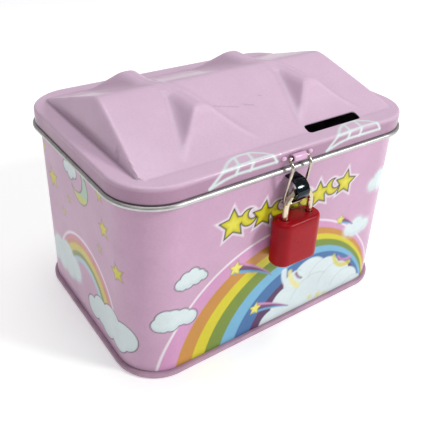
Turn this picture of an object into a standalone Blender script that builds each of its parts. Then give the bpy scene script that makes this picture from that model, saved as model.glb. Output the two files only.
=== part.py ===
"""A tin money box with a house-roof lid, two butt hinges, a wire hasp, a riveted staple and a mini padlock.
Metres, +Z up, front towards -Y, X along the long side. Lengths below are in millimetres and are scaled once."""
import math

import bmesh
import bpy
from mathutils import Matrix, Vector

MM = 0.001

# box
HALF_X, HALF_Y, CORNER_R = 64.0, 45.3, 16.4
SHEET = 0.4
GAP = 0.3
LONG_N, SHORT_N, CORNER_N = 20, 8, 6
BASE_RIM_TOP = 2.3
BODY_BOTTOM, BODY_TOP = 2.6, 82.2
CURL_OUT = 0.95

# lid
RIM_Z = 83.5
SKIRT_IN, SKIRT_OUT = 1.4, 1.8
BEAD_Z, BEAD_R, BEAD_OUT = 76.2, 1.0, 2.9
CREASE = -5.7
ROOF_SLOPE, ROOF_FOOT, RIDGE_SOFT = 0.352, 39.9, 2.5
GABLE_SLOPE, GABLE_FOOT = 4.4, 58.6
DORMER_X, DORMER_FLAT, DORMER_SIDE, DORMER_TOP = 25.7, 2.6, 0.92, 12.4
FRONT_SHIFT, REAR_SHIFT = 1.5, -4.0  # the front pair of dormers sits to the right of the rear pair
DORMER_FOOT, DORMER_FRONT = 35.9, 0.93
ROOF_X = (0.0, 5.0, 9.5, 13.5, 17.5, 21.5, 25.5, 29.5, 33.5, 38.0, 43.0, 48.0, 52.0, 55.0)
ROOF_Y = (0.0, 3.5, 9.0, 15.0, 21.0, 26.5, 31.5, 36.0)
SLOT_X, SLOT_Y, SLOT_LONG, SLOT_WIDE = 25.7, -38.3, 27.0, 4.4

# hasp and staple
HASP_Y, HASP_Z, WIRE_R, HASP_HALF = -48.2, 80.7, 0.6, 4.2
BARREL_R, BARREL_HALF, HASP_BORE = 1.45, 3.0, 0.9
STAPLE_HALF, STAPLE_THICK = 2.8, 0.8
STAPLE_TOP, STAPLE_LOW = 72.2, 62.6

# hinges
HINGE_X, HINGE_Y, HINGE_Z, HINGE_HALF = 34.0, 49.9, 76.2, 8.0
KNUCKLE_R, PIN_R, PIN_BORE, MIDDLE_HALF = 1.4, 0.7, 1.0, 2.7
LEAF = 0.5

# padlock
PAD_X, PAD_Y = 0.3, -50.4
PAD_HALF_W, PAD_HALF_T, PAD_R = 10.0, 4.75, 4.4
PAD_LOW, PAD_TOP, PAD_WALL = 38.8, 57.4, 0.6
LEG, SHACKLE_R, CROWN_Z = 5.85, 1.15, 62.2
LEG_BORE = 1.45
SHORT_END, LONG_END = 53.0, 44.0
PLUG_R, PLUG_TOP, NOSE_R = 2.4, 54.3, 1.6
CAM_R, CAM_AT = 0.4, 1.2
LATCH_LOW, LATCH_HIGH = 54.9, 56.0
LATCH_TIP = 5.1
STOP_X, STOP_Z, STOP_R = -4.55, 50.5, 0.45

# the bounding box is centred on the origin in Y
FRONT = PAD_Y - PAD_HALF_T
BACK = HINGE_Y + KNUCKLE_R
SHIFT = Vector((0.0, -(FRONT + BACK) / 2, 0.0))

for old in list(bpy.data.objects):
    bpy.data.objects.remove(old, do_unlink=True)
scene = bpy.context.scene
helpers = bpy.data.collections.new("helpers")
scene.collection.children.link(helpers)
helpers.hide_render = True


def material(name, colour, metallic, roughness):
    made = bpy.data.materials.new(name)
    made.use_nodes = True
    shader = made.node_tree.nodes["Principled BSDF"]
    shader.inputs["Base Color"].default_value = (*colour, 1.0)
    shader.inputs["Metallic"].default_value = metallic
    shader.inputs["Roughness"].default_value = roughness
    made.diffuse_color = (*colour, 1.0)
    return made


PINK = material("printed_pink_tin", (0.66, 0.44, 0.58), 0.2, 0.4)
LID_PINK = material("lid_pink_tin", (0.70, 0.50, 0.64), 0.2, 0.4)
TIN = material("bare_tin", (0.68, 0.68, 0.66), 1.0, 0.3)
DARK = material("dark_nickel", (0.06, 0.07, 0.08), 1.0, 0.15)
STEEL = material("bright_steel", (0.62, 0.60, 0.56), 1.0, 0.2)
RED = material("red_enamel", (0.45, 0.01, 0.02), 0.0, 0.3)
BRASS = material("brass", (0.66, 0.48, 0.2), 1.0, 0.3)
SPRING = material("spring_steel", (0.35, 0.35, 0.37), 1.0, 0.3)


def axis(name, at, parent=None):
    """An empty on a joint: what turns or slides about it is parented to it."""
    made = bpy.data.objects.new(name, None)
    made.empty_display_size = 0.01
    scene.collection.objects.link(made)
    made["at"] = at
    base = Vector(parent["at"]) if parent else -SHIFT
    made.location = (Vector(at) - base) * MM
    made.parent = parent
    return made


def place(name, mesh, look, on=None, helper=False):
    """The mesh, given in millimetres in the box's frame, as an object with its origin on its joint."""
    origin = Vector(on["at"]) if on else -SHIFT
    bmesh.ops.recalc_face_normals(mesh, faces=mesh.faces)
    bmesh.ops.translate(mesh, verts=mesh.verts, vec=-origin)
    bmesh.ops.scale(mesh, verts=mesh.verts, vec=(MM, MM, MM))
    data = bpy.data.meshes.new(name)
    mesh.to_mesh(data)
    mesh.free()
    data.materials.append(look)
    made = bpy.data.objects.new(name, data)
    made.parent = on
    (helpers if helper else scene.collection).objects.link(made)
    if helper:
        made.hide_render = True
        made.display_type = "WIRE"
    return made


def boolean(target, other, operation):
    step = target.modifiers.new(f"{operation.lower()}_{other.name}", "BOOLEAN")
    step.operation = operation
    step.solver = "EXACT"
    step.object = other


def loft(rings, closed=False, capped=True):
    """Rings of equal count joined in order; capped unless the last ring joins the first."""
    mesh = bmesh.new()
    made = [[mesh.verts.new(p) for p in points] for points in rings]
    count = len(made[0])
    pairs = list(zip(made, made[1:]))
    if closed:
        pairs.append((made[-1], made[0]))
    for low, high in pairs:
        for i in range(count):
            j = (i + 1) % count
            mesh.faces.new((low[i], low[j], high[j], high[i]))
    if capped and not closed:
        mesh.faces.new(list(reversed(made[0])))
        mesh.faces.new(made[-1])
    return mesh


def box(low, high):
    mesh = bmesh.new()
    low, high = Vector(low), Vector(high)
    size = high - low
    matrix = Matrix.Translation((low + high) / 2) @ Matrix.Diagonal((*size, 1.0))
    bmesh.ops.create_cube(mesh, size=1.0, matrix=matrix)
    return mesh


def cylinder(start, end, radius, sides=20):
    mesh = bmesh.new()
    start, end = Vector(start), Vector(end)
    along = end - start
    turn = Vector((0, 0, 1)).rotation_difference(along).to_matrix().to_4x4()
    matrix = Matrix.Translation((start + end) / 2) @ turn
    bmesh.ops.create_cone(
        mesh, cap_ends=True, segments=sides, radius1=radius, radius2=radius,
        depth=along.length, matrix=matrix,
    )
    return mesh


def merged(*meshes):
    """Several separate closed shapes in one mesh."""
    whole = bmesh.new()
    for part in meshes:
        data = bpy.data.meshes.new("scrap")
        part.to_mesh(data)
        part.free()
        whole.from_mesh(data)
        bpy.data.meshes.remove(data)
    return whole


def rounded(half_x, half_y, radius, long_n, short_n, corner_n):
    """A rounded rectangle, counter-clockwise, with the same number of points whatever its size."""
    radius = max(radius, 0.8)
    cx, cy = half_x - radius, half_y - radius
    points = []
    sides = (
        ((-cx, -half_y), (cx, -half_y), long_n, (cx, -cy), -90),
        ((half_x, -cy), (half_x, cy), short_n, (cx, cy), 0),
        ((cx, half_y), (-cx, half_y), long_n, (-cx, cy), 90),
        ((-half_x, cy), (-half_x, -cy), short_n, (-cx, -cy), 180),
    )
    for start, end, steps, centre, turn in sides:
        for k in range(steps):
            t = k / steps
            points.append((start[0] + (end[0] - start[0]) * t, start[1] + (end[1] - start[1]) * t))
        for k in range(corner_n):
            a = math.radians(turn + 90 * k / corner_n)
            points.append((centre[0] + radius * math.cos(a), centre[1] + radius * math.sin(a)))
    return points


def ring(offset, z):
    """The box's outline at an offset, starting in the middle of the front left corner."""
    flat = rounded(HALF_X + offset, HALF_Y + offset, CORNER_R + offset, LONG_N, SHORT_N, CORNER_N)
    half = CORNER_N // 2
    return [(x, y, z) for x, y in flat[-half:] + flat[:-half]]


def soft_min(a, b, k):
    h = max(0.0, min(1.0, 0.5 + 0.5 * (b - a) / k))
    return b * (1 - h) + a * h - k * h * (1 - h)


def roof(x, y):
    """Height of the embossed roof over the rim: a soft ridge along X, four dormers, steep soft gables."""
    ax, ay = abs(x), abs(y)
    main = ROOF_SLOPE * (ROOF_FOOT - math.hypot(ay, RIDGE_SOFT))
    rear = 0.5 + 0.5 * max(-1.0, min(1.0, y / 8.0))
    middle = x - FRONT_SHIFT - (REAR_SHIFT - FRONT_SHIFT) * rear
    side = DORMER_TOP + DORMER_SIDE * (DORMER_FLAT - abs(abs(middle) - DORMER_X))
    front = DORMER_FRONT * (DORMER_FOOT - ay)
    dormer = soft_min(soft_min(side, front, 1.8), DORMER_TOP, 1.8)
    top = -soft_min(-main, -dormer, 2.4)
    return max(0.0, soft_min(top, GABLE_SLOPE * (GABLE_FOOT - ax), 3.0 + 0.8 * max(top, 0.0)))


def drop(x, y):
    """How far below the outer skin the inner one lies, so that slopes keep their thickness."""
    step = 0.5
    dx = (roof(x + step, y) - roof(x - step, y)) / (2 * step)
    dy = (roof(x, y + step) - roof(x, y - step)) / (2 * step)
    return SHEET * min(3.4, math.hypot(1.0, math.hypot(dx, dy)))


def sweep(path, section, side_of, closed=False):
    """The section carried along the path. side_of gives the direction that stays across the path."""
    path = [Vector(p) for p in path]
    rings = []
    count = len(path)
    for i, point in enumerate(path):
        before = path[(i - 1) % count] if closed or i else point
        after = path[(i + 1) % count] if closed or i < count - 1 else point
        along = (after - before).normalized()
        side = along.cross(Vector(side_of)).normalized()
        up = side.cross(along).normalized()
        rings.append([point + side * u + up * v for u, v in section])
    return loft(rings, closed)


def circle(radius, sides):
    return [
        (radius * math.cos(2 * math.pi * k / sides), radius * math.sin(2 * math.pi * k / sides))
        for k in range(sides)
    ]


def helix(centre, radius, low, high, turns, steps=10):
    total = int(turns * steps)
    return [
        (
            centre[0] + radius * math.cos(2 * math.pi * k / steps),
            centre[1] + radius * math.sin(2 * math.pi * k / steps),
            low + (high - low) * k / total,
        )
        for k in range(total + 1)
    ]


# joints
lid_axis = axis("lid_axis", (0.0, HINGE_Y, HINGE_Z))
hasp_axis = axis("hasp_axis", (0.0, HASP_Y, HASP_Z), lid_axis)
shackle_axis = axis("shackle_axis", (PAD_X, PAD_Y, CROWN_Z))
case_axis = axis("case_axis", (PAD_X, PAD_Y, PAD_TOP), shackle_axis)
plug_axis = axis("plug_axis", (PAD_X, PAD_Y, PAD_LOW), case_axis)
latch_axis = axis("latch_axis", (PAD_X + LATCH_TIP, PAD_Y, LATCH_LOW), case_axis)

# base pan: recessed plate in a rolled rim that the box rests on
place(
    "base_pan",
    loft([
        ring(-1.5, 1.7), ring(-0.9, 1.3), ring(-0.6, 0.0), ring(1.0, 0.0), ring(1.5, 0.5),
        ring(1.5, 1.8), ring(1.0, BASE_RIM_TOP), ring(-0.9, BASE_RIM_TOP), ring(-1.5, 2.1),
    ]),
    TIN,
)

# body: wall with its top edge curled outwards
body = place(
    "body_shell",
    loft([
        ring(0.0, BODY_BOTTOM), ring(0.0, 40.0), ring(0.0, BODY_TOP - 1.9), ring(0.5, BODY_TOP - 1.7),
        ring(CURL_OUT, BODY_TOP - 1.2), ring(CURL_OUT, BODY_TOP - 0.4), ring(0.5, BODY_TOP),
        ring(-0.1, BODY_TOP), ring(-SHEET, BODY_TOP - 0.4), ring(-SHEET, BODY_BOTTOM),
    ], closed=True),
    PINK,
)
for label, z in (("top", STAPLE_TOP), ("low", STAPLE_LOW)):
    reach = STAPLE_THICK / 2 + GAP
    hole = place(
        f"staple_hole_{label}",
        box((-STAPLE_HALF - GAP, -HALF_Y - 1.5, z - reach), (STAPLE_HALF + GAP, -HALF_Y + 1.5, z + reach)),
        PINK, helper=True,
    )
    boolean(body, hole, "DIFFERENCE")

# lid: roof, rim, skirt and rolled bead as one sheet
def skin(x, y, under):
    return (x, y, RIM_Z + roof(x, y) - (drop(x, y) if under else 0.0))


def roof_rings(under):
    """The roof grid's edge, and a ring halfway from it to the crease."""
    xs = [-x for x in reversed(ROOF_X[1:])] + list(ROOF_X)
    ys = [-y for y in reversed(ROOF_Y[1:])] + list(ROOF_Y)
    edge = [(x, ys[0]) for x in xs[:-1]] + [(xs[-1], y) for y in ys[:-1]]
    edge += [(-x, -y) for x, y in edge]
    crease = ring(CREASE, 0.0)
    middle = [((a[0] + b[0]) / 2, (a[1] + b[1]) / 2) for a, b in zip(edge, crease)]
    return [skin(x, y, under) for x, y in edge], [skin(x, y, under) for x, y in middle]


def roof_grid(mesh, under):
    xs = [-x for x in reversed(ROOF_X[1:])] + list(ROOF_X)
    ys = [-y for y in reversed(ROOF_Y[1:])] + list(ROOF_Y)
    rows = [[mesh.verts.new(skin(x, y, under)) for x in xs] for y in ys]
    for low, high in zip(rows, rows[1:]):
        for i in range(len(xs) - 1):
            mesh.faces.new((low[i], low[i + 1], high[i + 1], high[i]))


top_edge, top_middle = roof_rings(False)
under_edge, under_middle = roof_rings(True)
edge = [
    ring(CREASE, RIM_Z), ring(-1.0, RIM_Z), ring(0.4, RIM_Z - 0.15), ring(1.3, RIM_Z - 0.6),
    ring(SKIRT_OUT, RIM_Z - 1.6), ring(SKIRT_OUT, BEAD_Z + 1.15), ring(2.55, BEAD_Z + 0.75),
    ring(BEAD_OUT, BEAD_Z), ring(2.55, BEAD_Z - 0.75), ring(1.9, BEAD_Z - BEAD_R),
    ring(SKIRT_IN, BEAD_Z - BEAD_R + 0.1), ring(SKIRT_IN, RIM_Z - 1.75), ring(0.95, RIM_Z - 0.85),
    ring(0.2, RIM_Z - 0.5), ring(-1.0, RIM_Z - SHEET), ring(CREASE, RIM_Z - SHEET),
]
sheet = loft([top_edge, top_middle, *edge, under_middle, under_edge], capped=False)
roof_grid(sheet, False)
roof_grid(sheet, True)
bmesh.ops.remove_doubles(sheet, verts=sheet.verts, dist=0.0001)
lid = place("lid_shell", sheet, LID_PINK, lid_axis)
barrel = place(
    "hasp_barrel",
    cylinder((-BARREL_HALF, HASP_Y, HASP_Z), (BARREL_HALF, HASP_Y, HASP_Z), BARREL_R, 16),
    LID_PINK, lid_axis, helper=True,
)
boolean(lid, barrel, "UNION")
bore = place(
    "hasp_bore", cylinder((-4, HASP_Y, HASP_Z), (4, HASP_Y, HASP_Z), HASP_BORE, 16),
    LID_PINK, lid_axis, helper=True,
)
boolean(lid, bore, "DIFFERENCE")
for side in (-1, 1):
    lug = place(
        f"hasp_lug_{'left' if side < 0 else 'right'}",
        cylinder((side * 5.3, -HALF_Y - SKIRT_OUT - 0.1, 80.9), (side * 6.9, -HALF_Y - SKIRT_OUT - 0.1, 80.9), 0.9, 10),
        LID_PINK, lid_axis, helper=True,
    )
    boolean(lid, lug, "UNION")
slot_ring = [
    (SLOT_X + x, SLOT_Y + y) for x, y in rounded(SLOT_LONG / 2, SLOT_WIDE / 2, 1.6, 1, 1, 3)
]
slot = place(
    "coin_slot_cutter", loft([[(x, y, z) for x, y in slot_ring] for z in (80.0, 90.0)]),
    LID_PINK, lid_axis, helper=True,
)
boolean(lid, slot, "DIFFERENCE")

# hasp: one closed wire loop through the barrel, over the bead and down round the staple
half = [
    (2.6, HASP_Y, HASP_Z), (3.65, HASP_Y - 0.15, HASP_Z - 0.2), (HASP_HALF, -48.9, 79.9),
    (HASP_HALF, -50.0, 78.7), (HASP_HALF, -50.35, 77.3), (HASP_HALF, -50.05, 75.6),
    (HASP_HALF, -49.1, 71.0), (HASP_HALF, -48.2, 66.5), (HASP_HALF, -48.0, 64.0),
    (HASP_HALF, -48.0, 62.6), (3.75, -48.0, 61.8), (2.9, -48.0, 61.5),
]
loop = half + [(-x, y, z) for x, y, z in reversed(half)]
place("hasp_wire", sweep(loop, circle(WIRE_R, 10), (0, 1, 0), closed=True), STEEL, hasp_axis)

# staple: a strap bowed out of the wall, its two feet clinched inside
inside = -HALF_Y + SHEET + GAP + STAPLE_THICK / 2
bow = [
    (inside, 75.9), (inside, 73.2), (inside - 0.35, 72.45), (-46.0, STAPLE_TOP), (-48.2, STAPLE_TOP - 0.05),
    (-49.9, 71.8), (-51.3, 71.0), (-52.2, 69.9), (-52.7, 68.8), (-52.8, 67.8), (-52.5, 66.7),
    (-51.8, 65.3), (-50.4, 63.9), (-48.6, 63.0), (-46.9, STAPLE_LOW + 0.05), (-46.0, STAPLE_LOW),
    (inside - 0.35, STAPLE_LOW - 0.2), (inside, 61.6), (inside, 58.9),
]
strap = [
    (-STAPLE_THICK / 2, -STAPLE_HALF), (STAPLE_THICK / 2, -STAPLE_HALF),
    (STAPLE_THICK / 2, STAPLE_HALF), (-STAPLE_THICK / 2, STAPLE_HALF),
]
place("staple", sweep([(0.0, y, z) for y, z in bow], strap, (1, 0, 0)), DARK)

# hinges: leaf on the body, leaf on the lid, headed pin
for side in (-1, 1):
    label = "left" if side < 0 else "right"
    mid = side * HINGE_X
    step = GAP + MIDDLE_HALF
    wall = HALF_Y + GAP
    low = HINGE_Z - KNUCKLE_R
    leaf = place(
        f"hinge_leaf_body_{label}",
        box((mid - HINGE_HALF, wall, 66.0), (mid + HINGE_HALF, wall + LEAF, low)), TIN,
    )
    for end, (x0, x1) in enumerate(((-HINGE_HALF, -step), (step, HINGE_HALF))):
        tab = place(
            f"body_tab_{label}_{end}",
            box((mid + x0, wall + LEAF / 2, low - LEAF), (mid + x1, HINGE_Y, low + 0.1)), TIN, helper=True,
        )
        boolean(leaf, tab, "UNION")
        knuckle = place(
            f"body_knuckle_{label}_{end}",
            cylinder((mid + x0, HINGE_Y, HINGE_Z), (mid + x1, HINGE_Y, HINGE_Z), KNUCKLE_R), TIN, helper=True,
        )
        boolean(leaf, knuckle, "UNION")
    ends = (mid - HINGE_HALF - 1, HINGE_Y, HINGE_Z), (mid + HINGE_HALF + 1, HINGE_Y, HINGE_Z)
    boolean(leaf, place(f"body_bore_{label}", cylinder(*ends, PIN_BORE), TIN, helper=True), "DIFFERENCE")

    skirt = HALF_Y + SKIRT_OUT + GAP
    high = BEAD_Z + BEAD_R + GAP
    leaf = place(
        f"hinge_leaf_lid_{label}",
        box((mid - HINGE_HALF, skirt, high + 0.8), (mid + HINGE_HALF, skirt + LEAF, 82.5)), TIN, lid_axis,
    )
    tab = place(
        f"lid_tab_{label}",
        box((mid - MIDDLE_HALF, skirt, high), (mid + MIDDLE_HALF, skirt + LEAF, high + 1.2)),
        TIN, lid_axis, helper=True,
    )
    boolean(leaf, tab, "UNION")
    shelf = place(
        f"lid_shelf_{label}",
        box((mid - MIDDLE_HALF, skirt + 0.1, high), (mid + MIDDLE_HALF, HINGE_Y, high + LEAF)),
        TIN, lid_axis, helper=True,
    )
    boolean(leaf, shelf, "UNION")
    knuckle = place(
        f"lid_knuckle_{label}",
        cylinder((mid - MIDDLE_HALF, HINGE_Y, HINGE_Z), (mid + MIDDLE_HALF, HINGE_Y, HINGE_Z), KNUCKLE_R),
        TIN, lid_axis, helper=True,
    )
    boolean(leaf, knuckle, "UNION")
    boolean(
        leaf, place(f"lid_bore_{label}", cylinder(*ends, PIN_BORE), TIN, lid_axis, helper=True), "DIFFERENCE"
    )

    reach = HINGE_HALF + GAP
    pin = place(
        f"hinge_pin_{label}",
        cylinder((mid - reach - 0.2, HINGE_Y, HINGE_Z), (mid + reach + 0.2, HINGE_Y, HINGE_Z), PIN_R), STEEL,
    )
    for end in (-1, 1):
        head = place(
            f"pin_head_{label}_{end + 1}",
            cylinder(
                (mid + end * reach, HINGE_Y, HINGE_Z), (mid + end * (reach + 0.5), HINGE_Y, HINGE_Z), 1.25
            ),
            STEEL, helper=True,
        )
        boolean(pin, head, "UNION")


# padlock
def pad(x, y, z):
    return (PAD_X + x, PAD_Y + y, z)


def pad_ring(inset, z):
    flat = rounded(PAD_HALF_W - inset, PAD_HALF_T - inset, PAD_R - inset, 2, 1, 5)
    return [pad(x, y, z) for x, y in flat]


def pad_rod(x, low, high, radius, sides=18):
    return cylinder(pad(x, 0, low), pad(x, 0, high), radius, sides)


def cut(target, name, mesh, on=case_axis):
    boolean(target, place(name, mesh, BRASS, on, helper=True), "DIFFERENCE")


arc = [math.radians(a) for a in range(0, 181, 15)]
bend = [pad(LEG * math.cos(a), 0, CROWN_Z + LEG * math.sin(a)) for a in arc]
shackle = place(
    "shackle",
    sweep([pad(LEG, 0, SHORT_END), *bend, pad(-LEG, 0, LONG_END)], circle(SHACKLE_R, 14), (0, 1, 0)),
    STEEL, shackle_axis,
)
notch = LEG - SHACKLE_R + 0.7
cut(shackle, "latch_notch", box(pad(LEG - 3, -2, 53.6), pad(notch, 2, LATCH_HIGH + GAP)), shackle_axis)
groove = STOP_X - STOP_R - GAP
cut(
    shackle, "stop_groove",
    box(pad(groove, -2, 44.95), pad(-LEG + 3, 2, STOP_Z + STOP_R + GAP)), shackle_axis,
)

jacket = place(
    "padlock_jacket",
    loft([
        pad_ring(0.35, PAD_LOW), pad_ring(0, PAD_LOW + 0.4), pad_ring(0, PAD_TOP - 1.2),
        pad_ring(0.35, PAD_TOP - 0.4), pad_ring(1.0, PAD_TOP),
    ]),
    RED, case_axis,
)
cut(jacket, "jacket_cavity", loft([pad_ring(PAD_WALL, PAD_LOW - 1), pad_ring(PAD_WALL, PAD_TOP - 0.8)]))
for label, x in (("short", LEG), ("long", -LEG)):
    cut(jacket, f"jacket_hole_{label}", pad_rod(x, PAD_TOP - 2, PAD_TOP + 1, LEG_BORE))

inset = PAD_WALL + GAP
block_low, block_top = PAD_LOW + 1.6, PAD_TOP - 1.1
block = place("lock_block", loft([pad_ring(inset, block_low), pad_ring(inset, block_top)]), BRASS, case_axis)
cut(block, "short_bore", pad_rod(LEG, 52.4, block_top + 1, LEG_BORE))
cut(block, "long_bore", pad_rod(-LEG, block_low + 0.5, block_top + 1, LEG_BORE))
cut(block, "plug_bore", pad_rod(0, block_low - 1, LATCH_LOW - 0.1, PLUG_R + GAP))
cut(block, "latch_slot", box(pad(-3.9, -3.3, LATCH_LOW - GAP), pad(LEG, 3.3, block_top + 1)))
cut(
    block, "stop_hole",
    cylinder(pad(STOP_X, -6, STOP_Z), pad(STOP_X, 6, STOP_Z), STOP_R + GAP, 14),
)

plate = place(
    "lock_bottom_plate", loft([pad_ring(inset, PAD_LOW + 0.3), pad_ring(inset, block_low - GAP)]), STEEL, case_axis
)
cut(plate, "plate_hole", pad_rod(0, PAD_LOW - 1, block_low + 1, NOSE_R + GAP))

reach = PAD_HALF_T - inset - 0.05
place(
    "shackle_stop_pin",
    cylinder(pad(STOP_X, -reach, STOP_Z), pad(STOP_X, reach, STOP_Z), STOP_R, 12), STEEL, case_axis,
)
coil = helix(pad(-LEG, 0, 0), 0.85, block_low + 1.0, LONG_END - 0.55, 3)
place("shackle_spring", sweep(coil, circle(0.2, 6), (0, 0, 1)), SPRING, case_axis)
zigzag = [
    pad(-3.3 + 0.9 * k, -2.8 if k % 2 else -1.9, (LATCH_LOW + LATCH_HIGH) / 2) for k in range(8)
]
place("latch_spring", sweep(zigzag, circle(0.2, 6), (0, 0, 1)), SPRING, case_axis)

plug = place("lock_plug", pad_rod(0, block_low, PLUG_TOP, PLUG_R, 24), BRASS, plug_axis)
nose = place("plug_nose", pad_rod(0, PAD_LOW + 0.1, block_low + 0.5, NOSE_R, 24), BRASS, plug_axis, helper=True)
boolean(plug, nose, "UNION")
cam = place(
    "plug_cam", cylinder(pad(CAM_AT, CAM_AT, PLUG_TOP - 0.5), pad(CAM_AT, CAM_AT, LATCH_HIGH - 0.1), CAM_R, 10),
    BRASS, plug_axis, helper=True,
)
boolean(plug, cam, "UNION")
cut(plug, "keyway", box(pad(-0.3, -1.1, PAD_LOW - 1), pad(0.3, 1.1, 50.0)), plug_axis)

latch = place(
    "latch", box(pad(-1.0, -1.2, LATCH_LOW), pad(LATCH_TIP, 3.0, LATCH_HIGH)), STEEL, latch_axis
)
cut(
    latch, "cam_slot",
    box(pad(CAM_AT - 0.78, CAM_AT - 0.7, LATCH_LOW - 1), pad(CAM_AT + 0.78, 2.4, LATCH_HIGH + 1)), latch_axis,
)
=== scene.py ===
"""The looks of the tin money box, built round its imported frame. Lengths are in millimetres in the box's own frame
(the box's centre at x = y = 0, front towards -Y) until solid() puts them in the row frame, in metres."""

import math

import bpy
import numpy as np
from mathutils import Matrix, Vector
from mathutils.geometry import delaunay_2d_cdt


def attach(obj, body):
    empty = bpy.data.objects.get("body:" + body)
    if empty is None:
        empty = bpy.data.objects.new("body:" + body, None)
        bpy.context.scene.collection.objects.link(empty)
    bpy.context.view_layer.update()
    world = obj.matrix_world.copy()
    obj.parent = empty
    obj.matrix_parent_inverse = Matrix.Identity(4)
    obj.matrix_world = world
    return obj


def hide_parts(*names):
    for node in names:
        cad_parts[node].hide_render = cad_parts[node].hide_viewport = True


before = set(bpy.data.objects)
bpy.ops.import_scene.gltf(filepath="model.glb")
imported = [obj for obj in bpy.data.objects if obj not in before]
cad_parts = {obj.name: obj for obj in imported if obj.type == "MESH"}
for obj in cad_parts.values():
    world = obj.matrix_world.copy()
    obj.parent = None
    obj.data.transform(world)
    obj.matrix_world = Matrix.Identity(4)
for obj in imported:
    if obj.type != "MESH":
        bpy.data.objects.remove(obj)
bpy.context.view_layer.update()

MM = 0.001
SHIFT_Y = 1.925  # the row frame's origin is under the middle of the bounding box

# camera: azimuth, elevation and roll in degrees, place in mm
CAM_AZ, CAM_EL, CAM_ROLL = 34.906, 30.165, 1.656
CAM_AT = (-131.23, -177.47, 174.33)
CAM_LENS, CAM_SHIFT = 48.82, (0.0307, -0.0759)

# box
HALF_X, HALF_Y, CORNER_R, SHEET = 64.0, 45.3, 16.4, 0.4
BODY_BOTTOM, BODY_TOP = 2.6, 82.2
RIM_Z, SKIRT_IN, SKIRT_OUT = 83.5, 1.4, 1.8
BEAD_Z, BEAD_R, BEAD_OFF = 76.2, 0.95, 1.9
ROOF_SLOPE, ROOF_FOOT, RIDGE_SOFT = 0.352, 39.9, 2.5
GABLE_SLOPE, GABLE_FOOT = 4.4, 58.6
DORMER_X, DORMER_FLAT, DORMER_SIDE, DORMER_TOP = 25.7, 2.6, 0.92, 12.4
FRONT_SHIFT, REAR_SHIFT = 1.5, -4.0  # the front pair of dormers sits to the right of the rear pair
DORMER_FOOT, DORMER_FRONT = 35.9, 0.93
SLOT_X, SLOT_Y, SLOT_LONG, SLOT_WIDE, SLOT_R = 25.7, -38.3, 27.0, 4.4, 1.6
CELL = 0.42  # mm between the points that carry the print
COLUMNS = 972


# ---------------------------------------------------------------- meshes
def solid(name, points, triangles, look, body, slot, ink=None, sharp=42.0):
    """A closed mesh from arrays, riding on its body. ink is a linear colour per point."""
    points = np.asarray(points, np.float64) * MM
    points[:, 1] += SHIFT_Y * MM
    triangles = np.asarray(triangles, np.int32)
    data = bpy.data.meshes.new(name)
    data.vertices.add(len(points))
    data.vertices.foreach_set("co", points.astype(np.float32).ravel())
    data.loops.add(triangles.size)
    data.loops.foreach_set("vertex_index", triangles.ravel())
    data.polygons.add(len(triangles))
    data.polygons.foreach_set("loop_start", np.arange(0, triangles.size, 3, dtype=np.int32))
    data.polygons.foreach_set("use_smooth", np.ones(len(triangles), bool))
    data.update(calc_edges=True)
    data.validate()
    if ink is not None:
        layer = data.color_attributes.new("ink", "FLOAT_COLOR", "POINT")
        rgba = np.ones((len(points), 4), np.float32)
        rgba[:, :3] = ink
        layer.data.foreach_set("color", rgba.ravel())
    data.set_sharp_from_angle(angle=math.radians(sharp))
    data.materials.append(look)
    made = bpy.data.objects.new(name, data)
    bpy.context.scene.collection.objects.link(made)
    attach(made, body)
    return made


def strip(rows, columns, first=0, wrap_rows=False):
    """Triangles that join rows of points, each row a closed ring running counter-clockwise seen along the rows."""
    r = np.arange(rows if wrap_rows else rows - 1)[:, None]
    c = np.arange(columns)[None, :]
    a = first + r * columns + c
    b = first + r * columns + (c + 1) % columns
    d = first + ((r + 1) % rows) * columns + c
    e = first + ((r + 1) % rows) * columns + (c + 1) % columns
    low = np.stack([a, b, e], -1).reshape(-1, 3)
    high = np.stack([a, e, d], -1).reshape(-1, 3)
    return np.concatenate([low, high])


def outward(points, triangles):
    """The triangles, turned round if the solid they close is inside out."""
    corners = np.asarray(points)[triangles]
    volume = np.einsum("ij,ij->i", corners[:, 0], np.cross(corners[:, 1], corners[:, 2])).sum()
    return triangles[:, ::-1] if volume < 0 else triangles


def counter_clockwise(flat, triangles):
    """The triangles of a flat sheet, each turned to run counter-clockwise."""
    a, b, c = (flat[triangles[:, k]] for k in range(3))
    area = (b[:, 0] - a[:, 0]) * (c[:, 1] - a[:, 1]) - (b[:, 1] - a[:, 1]) * (c[:, 0] - a[:, 0])
    return np.where((area < 0)[:, None], triangles[:, ::-1], triangles)


def fans(rows, size, count):
    """Triangles that close a stack of rings at both ends, on two hubs that come last among count points."""
    k = np.arange(size)
    j = (k + 1) % size
    tail = (rows - 1) * size
    return np.concatenate([
        np.stack([np.full(size, count - 2), j, k], -1), np.stack([tail + k, tail + j, np.full(size, count - 1)], -1),
    ])


def join(top_row, low_row):
    """Triangles between two rings of the same length, given as index arrays."""
    k = np.arange(len(top_row))
    j = (k + 1) % len(top_row)
    return np.concatenate([
        np.stack([top_row[k], low_row[k], low_row[j]], -1), np.stack([top_row[k], low_row[j], top_row[j]], -1),
    ])


CORNERS = ((1, -1, -90), (1, 1, 0), (-1, 1, 90), (-1, -1, 180))


def rounded(x, y, half_x, half_y, r, count, corners=CORNERS):
    """A rectangle with rounded corners as (x, y) points, counter-clockwise."""
    return [
        (x + sx * (half_x - r) + r * math.cos(a), y + sy * (half_y - r) + r * math.sin(a))
        for sx, sy, turn in corners for a in np.radians(np.linspace(turn, turn + 90, count))
    ]


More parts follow.
